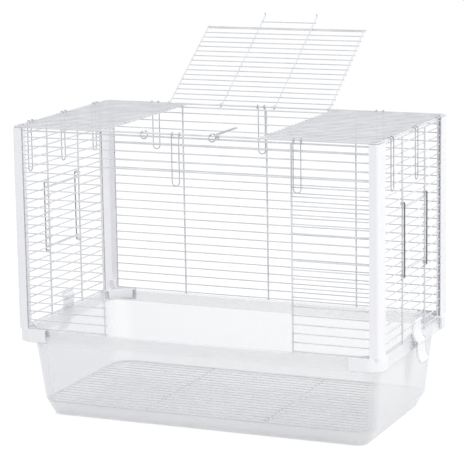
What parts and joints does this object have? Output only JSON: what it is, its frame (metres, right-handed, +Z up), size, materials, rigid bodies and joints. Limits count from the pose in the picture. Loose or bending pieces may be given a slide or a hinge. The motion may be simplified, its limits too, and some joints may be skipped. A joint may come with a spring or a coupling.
{
  "type": "parrot cage",
  "caption": "Wire parrot cage on a deep clear tub, with corner posts, an open roof lid and its catch, hinged side doors, hanging clips, a floor grate and end latches.",
  "frame": {"origin": "middle of the tub's flat underside, on the surface the cage stands on", "axes": "+Z up, -Y towards the front with the doorway, +X along the length towards the picture's right end"},
  "size_m": [0.6308, 0.5259, 0.6006],
  "materials": {
    "clear_plastic": "clear moulded plastic, smooth",
    "white_plastic": "satin moulded white plastic",
    "coated_wire": "white powder coat on steel wire",
    "zinc_steel": "zinc-plated drawn steel, dull"
  },
  "bodies": {
    "base": {"tub": "clear_plastic", "latch_pin_left": "zinc_steel", "latch_pin_right": "zinc_steel"},
    "grate": {"floor_grate": "coated_wire"},
    "cage": {"post_front_left": "white_plastic", "post_front_right": "white_plastic", "post_back_left": "white_plastic", "post_back_right": "white_plastic", "foot_front_left": "white_plastic", "foot_front_right": "white_plastic", "foot_back_left": "white_plastic", "foot_back_right": "white_plastic", "front_panel": "coated_wire", "back_panel": "coated_wire", "left_panel": "coated_wire", "right_panel": "coated_wire", "roof_panel": "coated_wire", "roof_clip_front_1": "zinc_steel", "roof_clip_front_2": "zinc_steel", "roof_clip_back_1": "zinc_steel", "roof_clip_back_2": "zinc_steel", "roof_clip_back_3": "zinc_steel", "roof_clip_left_1": "zinc_steel", "roof_clip_left_2": "zinc_steel", "roof_clip_left_3": "zinc_steel", "roof_clip_right_1": "zinc_steel", "roof_clip_right_2": "zinc_steel", "roof_clip_right_3": "zinc_steel", "wall_ring_left": "zinc_steel", "wall_ring_right": "zinc_steel"},
    "roof_lid": {"lid": "coated_wire"},
    "catch": {"lid_catch": "zinc_steel"},
    "door_left": {"left_door": "coated_wire"},
    "door_right": {"right_door": "coated_wire"},
    "left_latch": {"latch_left": "white_plastic"},
    "right_latch": {"latch_right": "white_plastic"}
  },
  "joints": [
    {"name": "grate_lift", "type": "slide", "parent": "base", "child": "grate", "axis": [0, 0, 1], "range_m": [0, 0.08]},
    {"name": "cage_lift", "type": "slide", "parent": "base", "child": "cage", "axis": [0, 0, 1], "range_m": [0, 0.08]},
    {"name": "lid_hinge", "type": "hinge", "parent": "cage", "child": "roof_lid", "pos_m": [0, 0.161, 0.466], "axis": [1, 0, 0], "range_deg": [0, 146]},
    {"name": "catch_hinge", "type": "hinge", "parent": "cage", "child": "catch", "pos_m": [0, -0.161, 0.466], "axis": [1, 0, 0], "range_deg": [0, 120]},
    {"name": "left_door_hinge", "type": "hinge", "parent": "cage", "child": "door_left", "pos_m": [-0.299, 0.053, 0.305], "axis": [0, 0, -1], "range_deg": [0, 105]},
    {"name": "right_door_hinge", "type": "hinge", "parent": "cage", "child": "door_right", "pos_m": [0.299, 0.053, 0.305], "axis": [0, 0, 1], "range_deg": [0, 105]},
    {"name": "left_latch_pivot", "type": "hinge", "parent": "base", "child": "left_latch", "pos_m": [-0.3055, 0.008, 0.135], "axis": [0, -1, 0], "range_deg": [0, 25]},
    {"name": "right_latch_pivot", "type": "hinge", "parent": "base", "child": "right_latch", "pos_m": [0.3055, 0.008, 0.135], "axis": [0, 1, 0], "range_deg": [0, 25]}
  ]
}
